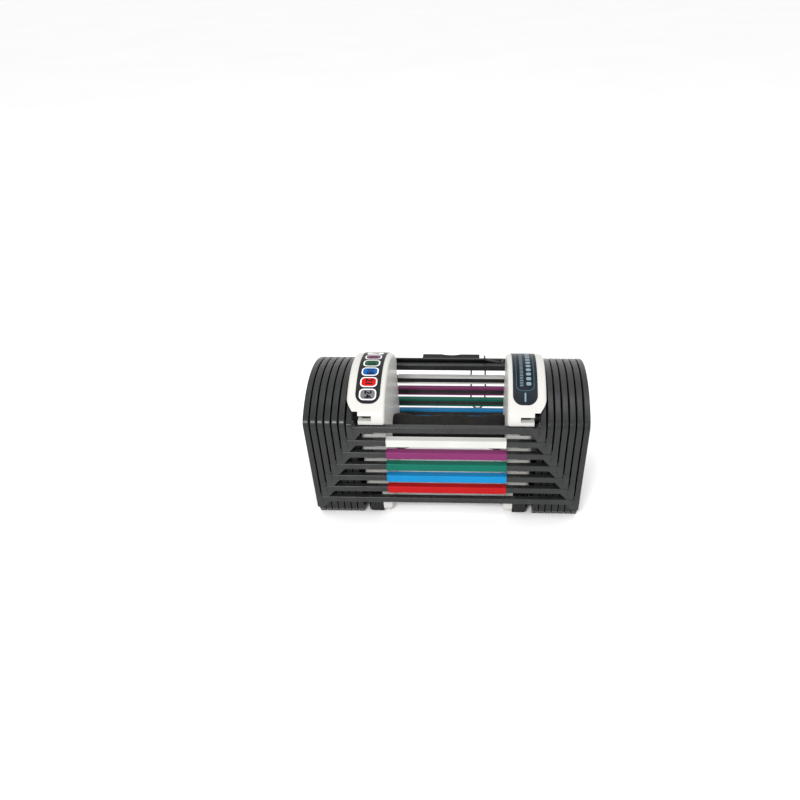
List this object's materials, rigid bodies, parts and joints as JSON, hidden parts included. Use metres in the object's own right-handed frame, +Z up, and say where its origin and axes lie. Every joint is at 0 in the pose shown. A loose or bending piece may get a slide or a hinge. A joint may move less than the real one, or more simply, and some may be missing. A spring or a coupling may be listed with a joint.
{
  "type": "adjustable dumbbell",
  "caption": "Adjustable dumbbell: a padded handle between two white end blocks nests inside charcoal weight rings that a U-shaped selector pin picks up.",
  "frame": {"origin": "on the floor, under the centre of the overall size, selector pin included", "axes": "+X along the handle, with the weight chart at -X; -Y is the side the numbers are read from and +Y the side the pin goes in from; +Z up"},
  "size_m": [0.273, 0.1482, 0.143],
  "materials": {
    "ring_charcoal": "satin powder coat",
    "sleeve_white": "gloss",
    "sleeve_purple": "gloss",
    "sleeve_green": "gloss",
    "sleeve_blue": "gloss",
    "sleeve_red": "gloss",
    "block_white": "gloss moulded",
    "keeper_black": "gloss black",
    "ballast_steel": "raw",
    "bar_steel": "brushed",
    "grip_rubber": "matt",
    "bolt_steel": "zinc plated",
    "chart_label": "satin print",
    "plain_label": "satin print",
    "cord_black": "braided",
    "pin_black": "gloss black",
    "pin_plastic": "matt",
    "magnet": "nickel"
  },
  "bodies": {
    "ring_7": {"plate_left_7": "ring_charcoal", "plate_right_7": "ring_charcoal", "rail_front_7": "ring_charcoal", "rail_back_7": "ring_charcoal"},
    "ring_6": {"plate_left_6": "ring_charcoal", "plate_right_6": "ring_charcoal", "rail_front_6": "ring_charcoal", "rail_back_6": "ring_charcoal", "sleeve_front_6": "sleeve_red", "sleeve_back_6": "sleeve_red"},
    "ring_5": {"plate_left_5": "ring_charcoal", "plate_right_5": "ring_charcoal", "rail_front_5": "ring_charcoal", "rail_back_5": "ring_charcoal", "sleeve_front_5": "sleeve_blue", "sleeve_back_5": "sleeve_blue"},
    "ring_4": {"plate_left_4": "ring_charcoal", "plate_right_4": "ring_charcoal", "rail_front_4": "ring_charcoal", "rail_back_4": "ring_charcoal", "sleeve_front_4": "sleeve_green", "sleeve_back_4": "sleeve_green"},
    "ring_3": {"plate_left_3": "ring_charcoal", "plate_right_3": "ring_charcoal", "rail_front_3": "ring_charcoal", "rail_back_3": "ring_charcoal", "sleeve_front_3": "sleeve_purple", "sleeve_back_3": "sleeve_purple"},
    "ring_2": {"plate_left_2": "ring_charcoal", "plate_right_2": "ring_charcoal", "rail_front_2": "ring_charcoal", "rail_back_2": "ring_charcoal", "sleeve_front_2": "sleeve_white", "sleeve_back_2": "sleeve_white"},
    "ring_1": {"plate_left_1": "ring_charcoal", "plate_right_1": "ring_charcoal", "rail_front_1": "ring_charcoal", "rail_back_1": "ring_charcoal"},
    "core": {"end_block_left": "block_white", "end_block_right": "block_white", "keeper_left": "keeper_black", "keeper_right": "keeper_black", "ballast_left": "ballast_steel", "ballast_right": "ballast_steel", "handle_bar": "bar_steel", "grip": "grip_rubber", "handle_bolt_left": "bolt_steel", "handle_bolt_right": "bolt_steel", "weight_chart_label": "chart_label", "plain_label": "plain_label", "tether_knot": "cord_black", "tether_cord": "cord_black"},
    "selector_pin": {"pin_frame": "pin_black", "pin_handle": "pin_plastic", "pin_magnet_left": "magnet", "pin_magnet_right": "magnet", "tether_clip": "pin_plastic"}
  },
  "joints": [
    {"name": "ring_6_lift", "type": "slide", "parent": "ring_7", "child": "ring_6", "axis": [0, 0, 1], "range_m": [0, 0.15]},
    {"name": "ring_5_lift", "type": "slide", "parent": "ring_6", "child": "ring_5", "axis": [0, 0, 1], "range_m": [0, 0.15]},
    {"name": "ring_4_lift", "type": "slide", "parent": "ring_5", "child": "ring_4", "axis": [0, 0, 1], "range_m": [0, 0.15]},
    {"name": "ring_3_lift", "type": "slide", "parent": "ring_4", "child": "ring_3", "axis": [0, 0, 1], "range_m": [0, 0.15]},
    {"name": "ring_2_lift", "type": "slide", "parent": "ring_3", "child": "ring_2", "axis": [0, 0, 1], "range_m": [0, 0.15]},
    {"name": "ring_1_lift", "type": "slide", "parent": "ring_2", "child": "ring_1", "axis": [0, 0, 1], "range_m": [0, 0.15]},
    {"name": "core_lift", "type": "slide", "parent": "ring_1", "child": "core", "axis": [0, 0, 1], "range_m": [0, 0.155]},
    {"name": "pin_pull", "type": "slide", "parent": "core", "child": "selector_pin", "axis": [0, 1, 0], "range_m": [0, 0.132]}
  ]
}
